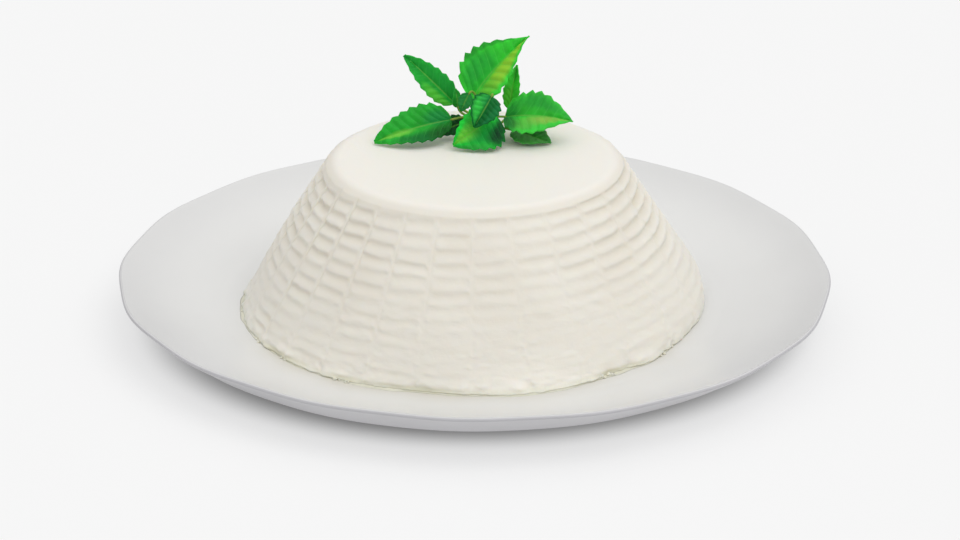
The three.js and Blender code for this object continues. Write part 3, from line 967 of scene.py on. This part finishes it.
stem = {
    # Places, radii and stalkEnd are in millimetres.
    "foot": (3, 21, 65.9),
    "head": (2, 19.6, 77.2),
    "radius": 1.0,
    "headShare": 0.8,  # its radius at the head, as a share
    "stalkRadius": 0.52,
    "stalkTip": 0.42,
    "stalkBend": 0.45,  # how far behind the leaf a stalk bends, as a share of the way to the head
    "stalkEnd": 0.5,  # how far it runs into the leaf
    "stalksFrom": (0.15, 0.93),  # the lowest and the highest one, as shares of the stem's height
    "sides": 12,
    "steps": 10,
    "colours": {"green": (104, 158, 52), "yellow": (152, 172, 76)},
}


def orderedRing(made, before):  # the new ring's vertices in the order of the one it grew from
    fresh = {item for item in made if isinstance(item, bmesh.types.BMVert)}
    return [next(edge.other_vert(vert) for edge in vert.link_edges if edge.other_vert(vert) in fresh)
            for vert in before]


def tube(bm, path, radii):  # a round tube along the path, closed at both ends
    ring = bmesh.ops.create_circle(bm, cap_ends=True, segments=stem["sides"], radius=1)["verts"]
    circle = [vert.co.copy() for vert in ring]
    edges = list({edge for vert in ring for edge in vert.link_edges})
    for step, (centre, radius) in enumerate(zip(path, radii)):
        if step:
            made = bmesh.ops.extrude_edge_only(bm, edges=edges)["geom"]
            edges = [item for item in made if isinstance(item, bmesh.types.BMEdge) and item.is_boundary]
            ring = orderedRing(made, ring)
        ahead = path[min(step + 1, len(path) - 1)] - path[max(step - 1, 0)]
        turned = ahead.to_track_quat("Z", "Y")
        for vert, spot in zip(ring, circle):
            vert.co = centre + turned @ (spot * radius)
    bmesh.ops.contextual_create(bm, geom=edges)


def curve(start, bend, end, shares):
    return [start * (1 - t) ** 2 + bend * (2 * t * (1 - t)) + end * t ** 2 for t in shares]


def stemFinish():
    finish, paint = Finish("mintStalk"), palette(stem)
    place = finish.place()
    patches = finish.noise(place, 4 * mm, 3, 0.6)
    fuzz = finish.noise(place, 0.3 * mm, 2)
    return finish.close({
        "Base Color": finish.blend(finish.ramp(patches, 0.3, 0.7), paint["green"], paint["yellow"]),
        "Roughness": 0.45 + 0.15 * patches, "Specular IOR Level": 0.3,
        "Subsurface Weight": 0.15, "Subsurface Radius": (0.5, 1, 0.3), "Subsurface Scale": 0.8 * mm,
        "Normal": finish.bump(fuzz, 0.06 * mm, 0.5),
    })


def makeStem():
    bm = bmesh.new()
    foot, head = Vector(stem["foot"]) * mm, Vector(stem["head"]) * mm
    shares = [k / stem["steps"] for k in range(stem["steps"] + 1)]
    radii = [stem["radius"] * mm * mix(1, stem["headShare"], t) for t in shares]
    stalkRadii = [mm * mix(stem["stalkRadius"], stem["stalkTip"], t) for t in shares]
    tube(bm, [foot.lerp(head, t) for t in shares], radii)
    for shape in leaves.values():
        base, tip = Vector(shape["base"]) * mm, Vector(shape["tip"]) * mm
        back = (base - tip).normalized()
        bend = base + back * (stem["stalkBend"] * (base - head).length)
        height = clamp((bend.z - foot.z) / (head.z - foot.z), *stem["stalksFrom"])
        end = base - back * stem["stalkEnd"] * mm
        tube(bm, curve(foot.lerp(head, height), bend, end, shares), stalkRadii)
    bmesh.ops.recalc_face_normals(bm, faces=bm.faces)
    finishPiece(bm, "mintStem", stemFinish(), ["stem"])


makeStem()
print("stem made")


studio = {
    "floorSize": 6,  # metres
    "floorDrop": 0.05 * mm,  # just under the foot of the plate
    "floorGlow": 0.66,  # painted light: share of the floor's brightness that it gives off itself, which keeps the shade on it light
    "shadow": (98 * mm, 120 * mm),  # painted shadow: the floor's glow fades under the plate
    "shadowGlow": 0.19,
    "shadowWide": 1.1,
    "shadowLeft": 0.6 * mm,
    "skyLow": 0.3,
    "skyHigh": 1.0,
    "sun": 0.85,
    "sunAngle": 50,
    "sunHeight": 62,
    "sunSide": 50,
    "colours": {"floor": (245, 245, 245), "cloud": (200, 200, 200)},
}


def floorFinish():
    finish, paint = Finish("paleFloor"), palette(studio)
    place = finish.place()
    glow, wide = studio["floorGlow"], studio["shadowWide"]
    away = finish.distance(finish.stretch(place, (1 / wide, 1, 1), (studio["shadowLeft"] / wide, 0, 0)))
    # painted shadow under the plate, where the floor's glow fades
    lit = finish.ramp(away, *studio["shadow"], studio["shadowGlow"], 1)
    dim = tuple(channel * (1 - glow) for channel in paint["floor"][:3]) + (1.0,)
    return finish.close({
        "Base Color": finish.blend(finish.noise(place, 400 * mm, 2) * 0.03, dim, paint["cloud"]),
        "Roughness": 0.9, "Specular IOR Level": 0.0,
        "Emission Color": finish.blend(lit, (0, 0, 0, 1), paint["floor"]), "Emission Strength": glow,
    })


def makeFloor():
    bm = bmesh.new()
    bmesh.ops.create_grid(bm, x_segments=1, y_segments=1, size=studio["floorSize"])
    bmesh.ops.translate(bm, vec=(0, 0, -studio["floorDrop"]), verts=bm.verts)
    mesh = bpy.data.meshes.new("floor")
    bm.to_mesh(mesh)
    bm.free()
    mesh.materials.append(floorFinish())
    floor = bpy.data.objects.new("floor", mesh)
    bpy.context.scene.collection.objects.link(floor)


def makeSky():  # softly brighter overhead
    finish = Finish("studio", "worlds")
    upwards = finish.split(finish.place("Generated"), "Z")
    strength = finish.ramp(upwards, 0.0, 1.0, studio["skyLow"], studio["skyHigh"])
    background = finish.node("ShaderNodeBackground", sockets={"Color": (1, 1, 1, 1), "Strength": strength})
    finish.node("ShaderNodeOutputWorld", sockets={"Surface": background})
    bpy.context.scene.world = finish.block


def makeSun():
    data = bpy.data.lights.new("key", "SUN")
    data.energy = studio["sun"]
    data.angle = math.radians(studio["sunAngle"])
    sun = bpy.data.objects.new("key", data)
    high, side = math.radians(studio["sunHeight"]), math.radians(studio["sunSide"])
    towards = Vector((math.cos(high) * math.sin(side), -math.cos(high) * math.cos(side), math.sin(high)))
    sun.rotation_euler = towards.to_track_quat("Z", "Y").to_euler()
    bpy.context.scene.collection.objects.link(sun)


makeFloor()
makeSky()
makeSun()
bpy.context.scene.view_settings.view_transform = "Standard"
print("floor and light made")
